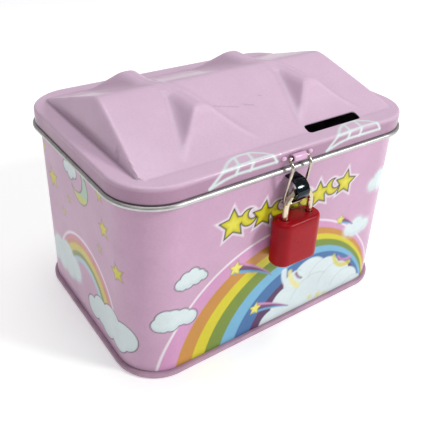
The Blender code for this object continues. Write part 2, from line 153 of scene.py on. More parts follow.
STRAIGHT_X, STRAIGHT_Y, ARC = HALF_X - CORNER_R, HALF_Y - CORNER_R, CORNER_R * math.pi / 2
LOOP = 4 * (STRAIGHT_X + STRAIGHT_Y + ARC)
RIGHT_MID = STRAIGHT_X + ARC + STRAIGHT_Y
LEFT_MID = LOOP - RIGHT_MID


def outline(s):
    """x, y and the outward normal at arc length s along the wall, from the middle of the front towards +X."""
    s = np.mod(s, LOOP)
    out = np.zeros((len(s), 4))
    start = 0.0
    lines = (
        (0, -HALF_Y, 1, 0, STRAIGHT_X), (HALF_X, -STRAIGHT_Y, 0, 1, 2 * STRAIGHT_Y),
        (STRAIGHT_X, HALF_Y, -1, 0, 2 * STRAIGHT_X), (-HALF_X, STRAIGHT_Y, 0, -1, 2 * STRAIGHT_Y),
        (-STRAIGHT_X, -HALF_Y, 1, 0, STRAIGHT_X),
    )
    for k, (ox, oy, dx, dy, length) in enumerate(lines):
        here = (s >= start - 1e-9) & (s <= start + length + 1e-9)
        t = s[here] - start
        out[here] = np.stack([ox + dx * t, oy + dy * t, np.full(len(t), dy), np.full(len(t), -dx)], -1)
        start += length
        if k == len(CORNERS):
            break
        sx, sy, turn = CORNERS[k]
        here = (s > start) & (s < start + ARC)
        a = math.radians(turn) + (s[here] - start) / CORNER_R
        nx, ny = np.cos(a), np.sin(a)
        out[here] = np.stack(
            [sx * STRAIGHT_X + CORNER_R * nx, sy * STRAIGHT_Y + CORNER_R * ny, nx, ny], -1
        )
        start += ARC
    return out


ALONG = np.arange(COLUMNS) * LOOP / COLUMNS
WALL = outline(ALONG)


def ring(offset, z):
    return np.stack([WALL[:, 0] + WALL[:, 2] * offset, WALL[:, 1] + WALL[:, 3] * offset, np.full(COLUMNS, z)], -1)


def arc_steps(centre, radius, start, end, count):
    """Points (offset, z) round an arc, in degrees."""
    a = np.radians(np.linspace(start, end, count))
    return [(centre[0] + radius * math.cos(t), centre[1] + radius * math.sin(t)) for t in a]


# ---------------------------------------------------------------- colour and drawing
def ink(r, g, b):
    """A printed colour, given as it looks on screen, as linear light."""
    c = np.array([r, g, b], float) / 255
    return np.where(c <= 0.04045, c / 12.92, ((c + 0.055) / 1.055) ** 2.4)


WHITE, CLOUD, CLOUD_SHADE = ink(238, 232, 238), ink(213, 226, 228), ink(168, 184, 192)
OUTLINE, BLACK = ink(56, 46, 66), ink(24, 20, 22)
YELLOW, STAR = ink(206, 196, 22), ink(226, 216, 84)
PINK, MAUVE, BLUE = ink(206, 134, 184), ink(116, 60, 112), ink(96, 160, 204)
UNDERLAP = 0.05  # how far a band of the rainbow runs under the next one, as a share of the bow
BANDS = (
    (-0.25, 0.0, ink(206, 148, 190)), (0.0, 0.26, ink(196, 136, 52)), (0.26, 0.48, ink(210, 198, 14)),
    (0.48, 0.75, ink(112, 136, 34)), (0.75, 1.0, ink(112, 174, 208)), (1.0, 1.28, ink(54, 106, 162)),
    (1.28, 1.58, ink(78, 28, 84)),
)


class Canvas:
    """Colours laid over a set of points (u, v) in mm, one shape after another."""

    def __init__(self, u, v, ground):
        self.u, self.v = u, v
        self.rgb = np.tile(ground, (len(u), 1))

    def lay(self, distance, colour, alpha=1.0, soft=CELL):
        cover = np.clip(0.5 - distance / soft, 0, 1) * alpha
        self.rgb += (colour - self.rgb) * cover[:, None]

    def disc(self, x, z, r):
        return np.hypot(self.u - x, self.v - z) - r

    def puffs(self, discs, dx=0.0, dz=0.0):
        return np.min([self.disc(x + dx, z + dz, r) for x, z, r in discs], axis=0)

    def star(self, x, z, r, turn=0.0):
        inner = 0.5 * r
        a = np.arctan2(self.u - x, self.v - z) - math.radians(turn)
        wedge = math.radians(36)
        a = np.abs((a + wedge) % (2 * wedge) - wedge)
        reach = np.hypot(self.u - x, self.v - z)
        px, py = reach * np.cos(a), reach * np.sin(a)
        bx, by = inner * math.cos(wedge) - r, inner * math.sin(wedge)
        return (by * (px - r) - bx * py) / math.hypot(bx, by)

    def stroke(self, points, start, end):
        """A line through the points whose half width runs from start to end."""
        best = np.full(len(self.u), 1e9)
        count = len(points) - 1
        for k in range(count):
            (x0, z0), (x1, z1) = points[k], points[k + 1]
            dx, dz = x1 - x0, z1 - z0
            t = np.clip(((self.u - x0) * dx + (self.v - z0) * dz) / (dx * dx + dz * dz), 0, 1)
            width = start + (end - start) * (k + t) / count
            best = np.minimum(best, np.hypot(self.u - x0 - t * dx, self.v - z0 - t * dz) - width)
        return best


def curve(a, b, c, count=12):
    """A quadratic curve from a to c, drawn towards b."""
    t = np.linspace(0, 1, count)[:, None]
    a, b, c = map(np.array, (a, b, c))
    return ((1 - t) ** 2 * a + 2 * t * (1 - t) * b + t * t * c).tolist()


def cloud(art, discs, outlined=True, soft=CELL):
    shape = art.puffs(discs)
    if outlined:
        art.lay(shape - 0.42, OUTLINE)
    else:
        art.lay(shape - 0.9, CLOUD, 0.5, 2.2)
    art.lay(shape, CLOUD, 1.0, soft)
    shade = np.maximum(shape + 0.5, -art.puffs(discs, -0.5, 1.3))
    art.lay(shade, CLOUD_SHADE, 0.35, 1.6)


def shooting_star(art, x, z, r, tail, bow, strength=1.0):
    """A star with three curved strands trailing to the tail."""
    middle = np.array([(x + tail[0]) / 2, (z + tail[1]) / 2])
    along = np.array([tail[0] - x, tail[1] - z])
    across = np.array([-along[1], along[0]]) / np.hypot(*along)
    strands = ((0.0, 1.9, OUTLINE), (0.95, 0.75, PINK), (0.1, 0.7, MAUVE), (-0.85, 0.85, BLUE))
    for shift, width, colour in strands:
        start = np.array([x, z]) + across * shift * r * 0.75
        strand = curve(start, middle + across * (bow + shift), tail)
        art.lay(art.stroke(strand, width * r / 3.2, 0.15), colour, strength)
    art.lay(art.star(x, z, r * 1.28, 12), OUTLINE, 0.8 * strength)
    art.lay(art.star(x, z, r * 1.12, 12), STAR, strength)
    art.lay(art.star(x - 0.2, z + 0.3, r * 0.6, 12), ink(240, 232, 130), 0.6 * strength, 1.2)


def long_wall(art, garland=True):
    """Rainbow, clouds and shooting stars of the front; v is the height and u runs along the wall."""
    # each edge of the rainbow is a circle whose centre slides along as its radius shrinks
    cx, cz, big, slide, shrink = 3.5, -9.0, 53.4, 11.5, 15.4
    u, v = art.u - cx, art.v - cz
    a = shrink ** 2 - slide ** 2
    b = 2 * slide * u - 2 * big * shrink
    c = big ** 2 - u ** 2 - v ** 2
    t = (-b - np.sqrt(np.maximum(b * b - 4 * a * c, 0))) / (2 * a)
    wide = np.maximum(np.abs(-b) / (2 * big), 4.0)  # mm for one unit of t
    art.lay(np.abs(t + 0.275) * wide - 0.58, WHITE, 0.8)
    for low, high, colour in BANDS:
        art.lay(np.maximum(low - t, t - high - UNDERLAP) * wide, colour)
    bank = (
        (-1.0, 1.0, 7.5), (6.0, 9.0, 8.6), (9.0, 18.5, 5.6), (17.0, 17.0, 10.2), (26.0, 14.5, 9.4),
        (20.0, 6.0, 12.0), (33.0, 9.0, 9.6), (40.0, 4.0, 8.6), (46.0, -1.0, 7.0), (10.0, 0.0, 9.0),
    )
    art.lay(art.puffs(bank) - 0.3, CLOUD_SHADE, 0.8)
    art.lay(art.puffs(bank), CLOUD)
    for x, z, r in bank[1:9]:
        edge = np.maximum(np.abs(art.disc(x, z, r)) - 0.22, art.disc(x - r * 0.35, z + r, r * 0.95))
        art.lay(np.maximum(edge, art.puffs(bank) + 0.4), CLOUD_SHADE, 0.55, 0.7)
        art.lay(np.maximum(art.disc(x, z - r * 0.5, r * 0.6), art.puffs(bank) + 1.0), CLOUD_SHADE, 0.16, 5.0)
    for x, z, r in ((19.5, 5.2, 2.0), (24.5, 4.4, 2.3), (28.5, 3.4, 1.6)):
        art.lay(art.star(x, z, r, 20), ink(214, 206, 110), 0.75, 0.9)
    art.lay(art.stroke(curve((31, 23), (33.5, 14.5), (41.5, 15.2)), 0.9, 1.3), YELLOW, 0.8, 0.8)
    art.lay(art.stroke(curve((34, 21.5), (36.5, 17.0), (42.0, 18.0)), 0.5, 0.9), PINK, 0.8, 0.8)
    art.lay(art.stroke(curve((2.6, 26.5), (2.6, 19.5), (7.5, 16.8)), 1.5, 1.0), CLOUD, 0.95, 0.8)
    art.lay(art.stroke(curve((5.8, 25.0), (6.8, 19.0), (11.5, 15.2)), 1.1, 1.3), ink(226, 220, 150), 0.9, 0.9)
    art.lay(art.stroke(curve((9.6, 22.6), (10.5, 20.0), (13.0, 18.8)), 0.7, 0.5), MAUVE, 0.85, 0.8)
    cloud(art, (
        (-46.6, 41.8, 2.3), (-44.2, 43.6, 2.5), (-41.2, 44.6, 2.3), (-38.6, 43.0, 2.1), (-37.0, 41.8, 1.6),
        (-40.0, 41.6, 2.2), (-43.4, 41.2, 2.3), (-45.6, 40.6, 1.7),
    ))
    cloud(art, (
        (-54.6, 25.6, 3.2), (-52.6, 28.0, 3.8), (-50.0, 27.2, 4.2), (-46.0, 26.6, 3.6), (-42.8, 25.2, 3.2),
        (-50.0, 24.8, 3.0), (-53.0, 25.0, 3.0),
    ))
    cloud(art, (
        (38.2, 34.2, 3.2), (42.4, 35.2, 3.6), (46.6, 33.8, 2.9), (41.0, 32.8, 3.0), (44.0, 32.6, 2.6),
    ), False, 1.0)
    cloud(art, (
        (48.0, 53.2, 2.9), (51.5, 55.4, 3.6), (56.0, 54.6, 3.8), (60.0, 53.0, 2.8), (53.0, 52.2, 2.8),
    ), False, 1.0)
    shooting_star(art, -22.4, 38.6, 3.0, (-4.4, 28.0), 2.4)
    shooting_star(art, -11.2, 13.6, 2.8, (7.0, 6.4), 1.6)
    shooting_star(art, 31.4, 41.2, 2.3, (39.4, 36.4), 1.0, 0.85)
    if garland:
        row = []
        for k in range(9):
            x = -25.0 + 6.9 * k
            z = 59.3 + 0.7 * math.sin(k * 1.9)
            if k % 2:
                row.append(np.maximum(art.disc(x, z, 3.3), -art.disc(x + 1.9, z + 1.3, 2.7)))
            else:
                row.append(art.star(x, z, 5.0 if k else 5.8, 8 * math.sin(k)))
        row = np.min(row, axis=0)
        art.lay(row - 1.35, WHITE, 0.8, 0.8)
        art.lay(row - 0.6, BLACK)
        art.lay(row, YELLOW)
        art.lay(row + 1.1, ink(226, 220, 70), 0.7, 1.2)


def short_wall(art):
    """The ends: a small rainbow between two clouds, stars above. u is positive towards the back."""
    x, z = -2.0, 15.0
    arch = np.hypot(art.u - x, art.v - z)
    above = 12.0 - art.v
    rings = (
        (26.2, 25.0, WHITE), (25.0, 23.4, ink(214, 128, 162)), (23.4, 21.2, ink(206, 140, 96)),
        (21.2, 18.0, ink(212, 196, 56)), (18.0, 15.6, ink(126, 148, 60)), (15.6, 13.2, ink(176, 206, 218)),
    )
    for big, small, colour in rings:
        art.lay(np.maximum(np.maximum(arch - big, small - arch), above), colour, 0.95, 1.1)
    cloud(art, (
        (-33.0, 15.8, 6.4), (-24.5, 16.6, 7.2), (-15.5, 14.8, 6.8), (-8.0, 12.0, 5.0), (-20.0, 11.5, 5.4),
        (-29.0, 12.0, 5.6),
    ))
    cloud(art, (
        (9.5, 19.8, 6.0), (16.0, 22.6, 6.6), (24.0, 20.4, 6.8), (30.5, 17.4, 5.0), (16.0, 17.0, 5.4),
        (23.0, 16.0, 4.6),
    ), False, 1.0)
    for x, z, r, strength in (
        (-22.4, 58.2, 3.4, 1.0), (-31.0, 44.6, 3.6, 1.0), (-20.6, 71.0, 2.4, 0.8), (-18.0, 47.0, 2.0, 0.5),
        (15.0, 45.0, 2.4, 0.45), (23.5, 56.5, 4.4, 0.95), (31.0, 68.0, 2.6, 0.8), (8.0, 54.5, 1.8, 0.6),
    ):
        art.lay(art.star(x, z, r, 14) - 0.35, ink(96, 78, 50), 0.75 * strength, 0.6)
        art.lay(art.star(x, z, r, 14), ink(214, 204, 60), strength, 0.8)
    moon = np.maximum(art.disc(-3.6, 66.0, 7.0), -art.disc(-0.2, 68.6, 6.6))
    art.lay(moon - 0.6, OUTLINE, 0.75, 0.7)
    art.lay(moon, ink(170, 200, 176))
    art.lay(np.maximum(moon, art.v - 62.5), ink(206, 200, 96), 0.9, 1.6)
    cloud(art, ((1.0, 69.8, 2.6), (4.4, 71.0, 2.8), (7.8, 69.2, 2.3), (4.2, 68.0, 2.5)))


def wall_print(z):
    """Linear colours for every point of the wall, row by row of the heights z."""
    s = np.tile(ALONG, len(z))
    v = np.repeat(z, COLUMNS)
    sheet = np.empty((len(s), 3))
    quarter = STRAIGHT_X + ARC / 2
    signed = (s + LOOP / 2) % LOOP - LOOP / 2
    rear = (s % LOOP) - LOOP / 2
    ground = ink(200, 160, 188)
    for here, u, draw in (
        (np.abs(signed) <= quarter, signed, long_wall),
        (np.abs(rear) <= quarter, rear, lambda art: long_wall(art, False)),
        (np.abs(s - LEFT_MID) < STRAIGHT_Y + ARC / 2, LEFT_MID - s, short_wall),
        (np.abs(s - RIGHT_MID) < STRAIGHT_Y + ARC / 2, s - RIGHT_MID, short_wall),
    ):
        art = Canvas(u[here], v[here], ground)
        draw(art)
        sheet[here] = art.rgb
    # painted shade: the wall is painted darker towards the bottom, where the floor and the base rim shade it
    wear_and_shade = np.clip((5.5 - v) / 5.5, 0, 1)[:, None]
    return sheet * (1 - 0.45 * wear_and_shade ** 1.5)


# ---------------------------------------------------------------- materials
def nodes_of(name):
    made = bpy.data.materials.new(name)
    made.use_nodes = True
    tree = made.node_tree
    return made, tree, tree.nodes["Principled BSDF"]


def add(tree, kind, **values):
    made = tree.nodes.new(kind)
    for key, value in values.items():
        if hasattr(made, key):
            setattr(made, key, value)
        else:
            made.inputs[key.replace("_", " ")].default_value = value
    return made


def noise(tree, scale, detail=4.0, rough=0.55, stretch=(1, 1, 1)):
    place = add(tree, "ShaderNodeTexCoord")
    scaled = add(tree, "ShaderNodeMapping")
    scaled.inputs["Scale"].default_value = stretch
    tree.links.new(place.outputs["Object"], scaled.inputs["Vector"])
    made = add(tree, "ShaderNodeTexNoise", Scale=scale, Detail=detail, Roughness=rough)
    tree.links.new(scaled.outputs["Vector"], made.inputs["Vector"])
    return made.outputs["Fac"]


def spread(tree, value, low, high, start=0.3, end=0.7):
    """The value's range start..end mapped to low..high."""
    made = add(tree, "ShaderNodeMapRange")
    made.inputs["From Min"].default_value = start
    made.inputs["From Max"].default_value = end
    made.inputs["To Min"].default_value = low
    made.inputs["To Max"].default_value = high
    tree.links.new(value, made.inputs["Value"])
    return made.outputs["Result"]


def bump(tree, shader, heights):
    """Stacks (height output, distance in metres, strength) into the shader's normal."""
    last = None
    for height, distance, strength in heights:
        made = add(tree, "ShaderNodeBump", Strength=strength, Distance=distance)
        tree.links.new(height, made.inputs["Height"])
        if last:
            tree.links.new(last, made.inputs["Normal"])
        last = made.outputs["Normal"]
    tree.links.new(last, shader.inputs["Normal"])


MIX_A, MIX_B, MIX_RESULT = 6, 7, 2  # the colour sockets of a Mix node, whose names its number sockets share


def times(tree, colour, factor):
    """colour (a socket or a linear triple) times factor."""
    made = add(tree, "ShaderNodeMix", data_type="RGBA", blend_type="MULTIPLY")
    made.inputs["Factor"].default_value = 1.0
    if isinstance(colour, bpy.types.NodeSocket):
        tree.links.new(colour, made.inputs[MIX_A])
    else:
        made.inputs[MIX_A].default_value = (*colour, 1.0)
    tree.links.new(factor, made.inputs[MIX_B])
    return made.outputs[MIX_RESULT]


def printed(name, rough, dull):
    """Litho print under varnish: mottled ink, faint rolling marks, small dents and orange peel."""
    made, tree, shader = nodes_of(name)
    layer = add(tree, "ShaderNodeAttribute", attribute_name="ink")
    mottle = spread(tree, noise(tree, 60.0, 6.0, 0.65), 1.0 - dull, 1.0 + dull * 0.5)
    grain = spread(tree, noise(tree, 1400.0, 2.0, 0.5), 0.97, 1.03)
    mottled = times(tree, layer.outputs["Color"], mottle)
    tree.links.new(times(tree, mottled, grain), shader.inputs["Base Color"])
    tree.links.new(spread(tree, noise(tree, 90.0, 5.0), rough - 0.06, rough + 0.1), shader.inputs["Roughness"])
    shader.inputs["Specular IOR Level"].default_value = 0.28
    shader.inputs["Coat Weight"].default_value = 0.3
    shader.inputs["Coat Roughness"].default_value = 0.1
    bump(tree, shader, (
        (noise(tree, 16.0, 2.0, 0.4), 0.0022, 0.12),
        (noise(tree, 700.0, 3.0, 0.6), 0.00006, 0.3),
        (noise(tree, 160.0, 4.0, 0.6, (1, 1, 12)), 0.00012, 0.12),
    ))
    return made


def metal(name, colour, rough, vary=0.12, stretch=(1, 1, 1), marks=0.35):
    """Bare or plated metal: tarnish in patches, fine scratches along one way."""
    made, tree, shader = nodes_of(name)
    tarnish = spread(tree, noise(tree, 220.0, 6.0, 0.6), 1.0 - vary, 1.0 + vary * 0.4)
    tree.links.new(times(tree, colour, tarnish), shader.inputs["Base Color"])
    shader.inputs["Metallic"].default_value = 1.0
    wear_and_shade = spread(tree, noise(tree, 400.0, 5.0, 0.6, stretch), rough * 0.7, rough * 1.5)
    tree.links.new(wear_and_shade, shader.inputs["Roughness"])
    bump(tree, shader, (
        (noise(tree, 900.0, 4.0, 0.6, stretch), 0.00003, marks),
        (noise(tree, 120.0, 2.0, 0.5), 0.0001, marks * 0.4),
    ))
    return made


def enamel(name, colour, rough):
    """Baked enamel, pooled slightly darker in patches, with orange peel."""
    made, tree, shader = nodes_of(name)
    pooled = spread(tree, noise(tree, 140.0, 5.0, 0.6), 0.82, 1.1)
    tree.links.new(times(tree, colour, pooled), shader.inputs["Base Color"])
    tree.links.new(spread(tree, noise(tree, 300.0, 4.0), rough * 0.8, rough * 1.3), shader.inputs["Roughness"])
    shader.inputs["Specular IOR Level"].default_value = 0.14
    shader.inputs["Coat Weight"].default_value = 0.06
    shader.inputs["Coat Roughness"].default_value = 0.12
    bump(tree, shader, ((noise(tree, 520.0, 3.0, 0.5), 0.00006, 0.12), (noise(tree, 60.0, 2.0, 0.5), 0.0002, 0.08)))
    return made


BODY_INK = printed("body_print", 0.36, 0.07)
LID_INK = printed("lid_print", 0.4, 0.05)
TIN = metal("rolled_tin", (0.56, 0.56, 0.55), 0.36, 0.15, (1, 1, 1), 0.03)
BASE_PAINT = enamel("base_enamel", tuple(ink(184, 150, 172)), 0.3)
NICKEL = metal("black_nickel", (0.030, 0.038, 0.045), 0.09, 0.3)
WIRE = metal("warm_steel", (0.54, 0.48, 0.40), 0.18, 0.35, (1, 1, 5), 0.15)
SHACKLE = metal("shackle_steel", (0.72, 0.62, 0.46), 0.17, 0.25, (1, 1, 5), 0.15)
RED = enamel("red_enamel_paint", tuple(ink(160, 4, 22)), 0.34)
BRASS = metal("lock_brass", (0.72, 0.54, 0.26), 0.26, 0.2)
STEEL = metal("hinge_steel", (0.60, 0.60, 0.58), 0.28, 0.2, (6, 1, 1))
SPRING = metal("spring_wire", (0.36, 0.36, 0.38), 0.3, 0.2)

TIN_INSIDE = ink(188, 182, 188)

# ---------------------------------------------------------------- body
CURL_DEPTH = 1.9  # how far below its top the wall starts to curl outwards
heights = np.linspace(BODY_BOTTOM, BODY_TOP - CURL_DEPTH, int((BODY_TOP - CURL_DEPTH - BODY_BOTTOM) / CELL))
curl = [(0.5, BODY_TOP - 1.7), (0.95, BODY_TOP - 1.2), (0.95, BODY_TOP - 0.4), (0.5, BODY_TOP), (-0.1, BODY_TOP)]
rest = curl + [(-SHEET, BODY_TOP - 0.4), (-SHEET, 40.0), (-SHEET, BODY_BOTTOM)]
rings = [ring(0.0, z) for z in heights] + [ring(o, z) for o, z in rest]
points = np.concatenate(rings)
colours = np.concatenate([
    wall_print(heights), np.tile(TIN_INSIDE, (len(rest) * COLUMNS, 1)),
])
wall = solid(
    "body_wall", points, outward(points, strip(len(rings), COLUMNS, wrap_rows=True)), BODY_INK, "box",
    "printed_pink_tin", colours,
)
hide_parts("body_shell")


# ---------------------------------------------------------------- lid
def soft_min(a, b, k):
    h = np.clip(0.5 + 0.5 * (b - a) / k, 0, 1)
    return b * (1 - h) + a * h - k * h * (1 - h)


def roof(x, y):
    ax, ay = np.abs(x), np.abs(y)
    main = ROOF_SLOPE * (ROOF_FOOT - np.hypot(ay, RIDGE_SOFT))
    rear = 0.5 + 0.5 * np.clip(y / 8.0, -1.0, 1.0)
    middle = x - FRONT_SHIFT - (REAR_SHIFT - FRONT_SHIFT) * rear
    side = DORMER_TOP + DORMER_SIDE * (DORMER_FLAT - np.abs(np.abs(middle) - DORMER_X))
    front = DORMER_FRONT * (DORMER_FOOT - ay)
    dormer = soft_min(soft_min(side, front, 1.8), DORMER_TOP, 1.8)
    top = -soft_min(-main, -dormer, 2.4)
    return np.maximum(0.0, soft_min(top, GABLE_SLOPE * (GABLE_FOOT - ax), 3.0 + 0.8 * np.maximum(top, 0.0)))


def drop(x, y):
    step = 0.5
    dx = (roof(x + step, y) - roof(x - step, y)) / (2 * step)
    dy = (roof(x, y + step) - roof(x, y - step)) / (2 * step)
    return SHEET * np.minimum(3.4, np.hypot(1.0, np.hypot(dx, dy)))


TOP_OFF = -3.0  # the ring where the lid's loft ends and its relief begins
ROOF_CELL = 0.55  # mm between the points of the roof


def inside_outline(x, y, offset):
    qx = np.maximum(np.abs(x) - STRAIGHT_X, 0)
    qy = np.maximum(np.abs(y) - STRAIGHT_Y, 0)
    return np.hypot(qx, qy) < CORNER_R + offset


def in_slot(x, y, grow):
    qx = np.maximum(np.abs(x - SLOT_X) - (SLOT_LONG / 2 - SLOT_R), 0)
    qy = np.maximum(np.abs(y - SLOT_Y) - (SLOT_WIDE / 2 - SLOT_R), 0)
    return np.hypot(qx, qy) < SLOT_R + grow


slot_edge = rounded(SLOT_X, SLOT_Y, SLOT_LONG / 2, SLOT_WIDE / 2, SLOT_R, 7)
rim = ring(TOP_OFF, RIM_Z)[:, :2]
gx, gy = np.meshgrid(np.arange(-63, 63.1, ROOF_CELL), np.arange(-44.1, 44.2, ROOF_CELL))
gx, gy = gx.ravel(), gy.ravel()
keep = inside_outline(gx, gy, TOP_OFF - 0.35) & ~in_slot(gx, gy, 0.3)
flat = np.concatenate([rim, np.array(slot_edge), np.stack([gx[keep], gy[keep]], -1)])
first, second = len(rim), len(rim) + len(slot_edge)
edges = [(k, (k + 1) % first) for k in range(first)]
edges += [(first + k, first + (k + 1) % len(slot_edge)) for k in range(len(slot_edge))]
cut = delaunay_2d_cdt([Vector(p) for p in flat.tolist()], edges, [], 0, 1e-6)
faces = np.array(cut[2])
mid_x, mid_y = flat[faces].mean(axis=1).T
faces = counter_clockwise(flat, faces[inside_outline(mid_x, mid_y, TOP_OFF) & ~in_slot(mid_x, mid_y, -0.02)])
x, y = flat.T
upper = np.stack([x, y, RIM_Z + roof(x, y)], -1)
lower = np.stack([x, y, RIM_Z + roof(x, y) - drop(x, y)], -1)

# the loft from the top's rim, over the edge, down the skirt and back up inside
EDGE_R, EDGE_STEPS = 1.15, 8
steps = [(o, RIM_Z) for o in np.linspace(TOP_OFF + CELL, SKIRT_OUT - EDGE_R, EDGE_STEPS)]
steps += arc_steps((SKIRT_OUT - EDGE_R, RIM_Z - EDGE_R), EDGE_R, 86, 4, EDGE_STEPS)
steps += [(SKIRT_OUT, z) for z in np.arange(RIM_Z - EDGE_R - 0.2, BEAD_Z + 0.9, -CELL)]
outer_rows = len(steps)
steps += [(SKIRT_OUT, BEAD_Z + 0.6), (SKIRT_IN, BEAD_Z + 0.6), (SKIRT_IN, RIM_Z - EDGE_R)]
steps += arc_steps((SKIRT_OUT - EDGE_R, RIM_Z - EDGE_R), EDGE_R - SHEET, 4, 86, 5)
steps += [(0.0, RIM_Z - SHEET)]
rings = [ring(o, z) for o, z in steps]
count = len(flat)
points = np.concatenate([upper, lower, *rings])
base = 2 * count
chain = strip(len(rings), COLUMNS, base)


index = np.arange(first)
slot_index = np.arange(first, second)
triangles = np.concatenate([
    faces, faces[:, ::-1] + count, chain[:, ::-1],
    join(index, base + index),
    join(base + (len(rings) - 1) * COLUMNS + index, count + index),
    join(slot_index + count, slot_index),
])

# the lid's print: plain pink, with pale arched windows wrapped over the front edge. over is the distance inwards from
# the middle of the edge's bend, negative down the skirt. FAR_AWAY keeps a point clear of every window
FAR_AWAY = 500.0
profile = np.array(steps)
length = np.concatenate([[0.0], np.cumsum(np.hypot(*np.diff(profile, axis=0).T))])
edge_at = length[EDGE_STEPS + EDGE_STEPS // 2]
down = np.repeat(edge_at - length, COLUMNS)
signed = (ALONG + LOOP / 2) % LOOP - LOOP / 2
along = np.where(np.abs(signed) <= LOOP / 4, signed, FAR_AWAY)
inward = edge_at + CELL + np.minimum(HALF_Y + TOP_OFF - np.abs(y), 30.0)
over = np.concatenate([inward, inward, down])
side_x = np.where(y < 0, x, FAR_AWAY)
across = np.concatenate([side_x, side_x, np.tile(along, len(rings))])
art = Canvas(across, over, ink(210, 180, 203))
# painted shade: the skirt is painted darker than the top, as the lid's sides face away from the light above
skirt = np.concatenate([np.full(2 * count, FAR_AWAY), down + 0.6])
art.lay(skirt, ink(172, 134, 160), 1.0, 1.5)
FRAME = ink(214, 228, 226)
WINDOW = (
    ((-37, -4.8), (-33, -1.0), (-27.6, 3.6), (-24.6, 5.3), (-21.0, 6.0), (-16.4, 5.7), (-12.6, 3.0), (-9.0, -2.6)),
    ((-37, -4.8), (-30.5, -3.0), (-26.0, -2.4), (-9.0, -2.6)),
    ((-31.6, 0.0), (-17.0, 0.9), (-10.6, 0.6)),
    ((-26.7, -2.4), (-24.6, 2.0), (-23.4, 5.5)), ((-20.5, -2.6), (-18.2, 3.0), (-17.6, 5.8)),
)
WINDOW_STEP = 52.0  # from the left window to the right one
for shift in (0.0, WINDOW_STEP):
    for line in WINDOW:
        art.lay(art.stroke([(u + shift, v) for u, v in line], 0.55, 0.5), FRAME, 0.92, 0.55)
colours = art.rgb

# painted shade with some grime in the creases and painted highlight with some wear on the ridges: creases a little
# darker and ridges a little paler, from the roof's curvature over a short reach
REACH = 0.9
around = ((REACH, 0), (-REACH, 0), (0, REACH), (0, -REACH))
bend = sum(roof(x + dx, y + dy) for dx, dy in around) - 4 * roof(x, y)
crease_shade_ridge_highlight = 1.0 - np.clip(bend * 0.30, -0.05, 0.3)
colours[:count] *= crease_shade_ridge_highlight[:, None]
colours[count:2 * count] = TIN_INSIDE
colours[2 * count + outer_rows * COLUMNS:] = TIN_INSIDE
SCRATCHES = (
    ((-15, -17), (-6, -20), 0.18), ((-3, -19.6), (0.5, -21), 0.22), ((-58, -25), (-57.2, -22), 0.3),
    ((6, -17), (7, -17.4), 0.22),
)
marks = Canvas(points[:, 0], points[:, 1], BLACK)
for start, end, width in SCRATCHES:
    cover = np.clip(0.5 - marks.stroke([start, end], width, width) / 0.5, 0, 1)[:, None] * 0.4
    cover[count:] = 0
    colours = colours * (1 - cover) + ink(120, 100, 118) * cover
# painted shade in the gap where the skirt meets its bead
gap_shade = np.clip((BEAD_Z + 1.75 - points[:, 2]) / 0.5, 0, 1)[:, None]
gap_shade[: 2 * count] = 0
colours = colours * (1 - 0.9 * gap_shade)
lid = solid("lid_print_shell", points, outward(points, triangles), LID_INK, "lid", "lid_pink_tin", colours, 35.0)

bead_roll = arc_steps((BEAD_OFF, BEAD_Z), BEAD_R, 150, -165, 20)
bead_roll += [(BEAD_OFF - 0.5, BEAD_Z - 0.2), (BEAD_OFF - 0.5, BEAD_Z + 0.35)]
rings = [ring(o, z) for o, z in bead_roll]
points = np.concatenate(rings)
solid(
    "lid_bead", points, outward(points, strip(len(rings), COLUMNS, wrap_rows=True)), TIN, "lid", "bare_tin", None, 60.0
)
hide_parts("lid_shell")

# ---------------------------------------------------------------- base pan
pan = [(-1.5, 1.7), (-0.9, 1.2), (-0.75, 0.4), (-0.6, 0.0), (0.7, 0.0)]
pan += arc_steps((0.65, 0.85), 0.85, -80, 0, 6) + arc_steps((0.65, 1.45), 0.85, 0, 85, 6)
pan += [(-0.9, 2.3), (-1.5, 2.1)]
rings = [ring(o, z) for o, z in pan]
points = np.concatenate(rings + [[(0, 0, pan[0][1]), (0, 0, pan[-1][1])]])
triangles = np.concatenate([strip(len(rings), COLUMNS), fans(len(rings), COLUMNS, len(points))])
base_pan = solid("base_tray", points, outward(points, triangles), BASE_PAINT, "box", "bare_tin", None, 50.0)
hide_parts("base_pan")


# ---------------------------------------------------------------- wires and straps
def smooth_path(path, closed, rounds=3):
    """Corner cutting, keeping the ends of an open path."""
    path = np.array(path, float)
    for _ in range(rounds):
        if closed:
            after = np.roll(path, -1, axis=0)
            path = np.stack([0.75 * path + 0.25 * after, 0.25 * path + 0.75 * after], 1).reshape(-1, 3)
        else:
            before, after = path[:-1], path[1:]
            inner = np.stack([0.75 * before + 0.25 * after, 0.25 * before + 0.75 * after], 1).reshape(-1, 3)
            path = np.concatenate([path[:1], inner[1:-1], path[-1:]])
    return path


def sweep(path, section, side_of, closed):
    """Points and triangles of a section carried along a path."""
    count, size = len(path), len(section)
    if closed:
        along = np.roll(path, -1, 0) - np.roll(path, 1, 0)
    else:
        along = np.gradient(path, axis=0)
    along /= np.linalg.norm(along, axis=1)[:, None]
    side = np.cross(along, side_of)
    side /= np.linalg.norm(side, axis=1)[:, None]
    up = np.cross(side, along)
    section = np.asarray(section)
    points = (
        path[:, None] + side[:, None] * section[None, :, :1] + up[:, None] * section[None, :, 1:]
    ).reshape(-1, 3)
    triangles = strip(count, size, 0, closed)
    if not closed:
        points = np.concatenate([points, [path[0], path[-1]]])
        triangles = np.concatenate([triangles, fans(count, size, len(points))])
    return points, outward(points, triangles)


def circle(radius, sides=24):
    a = np.arange(sides) * 2 * np.pi / sides
    return np.stack([radius * np.cos(a), radius * np.sin(a)], -1)


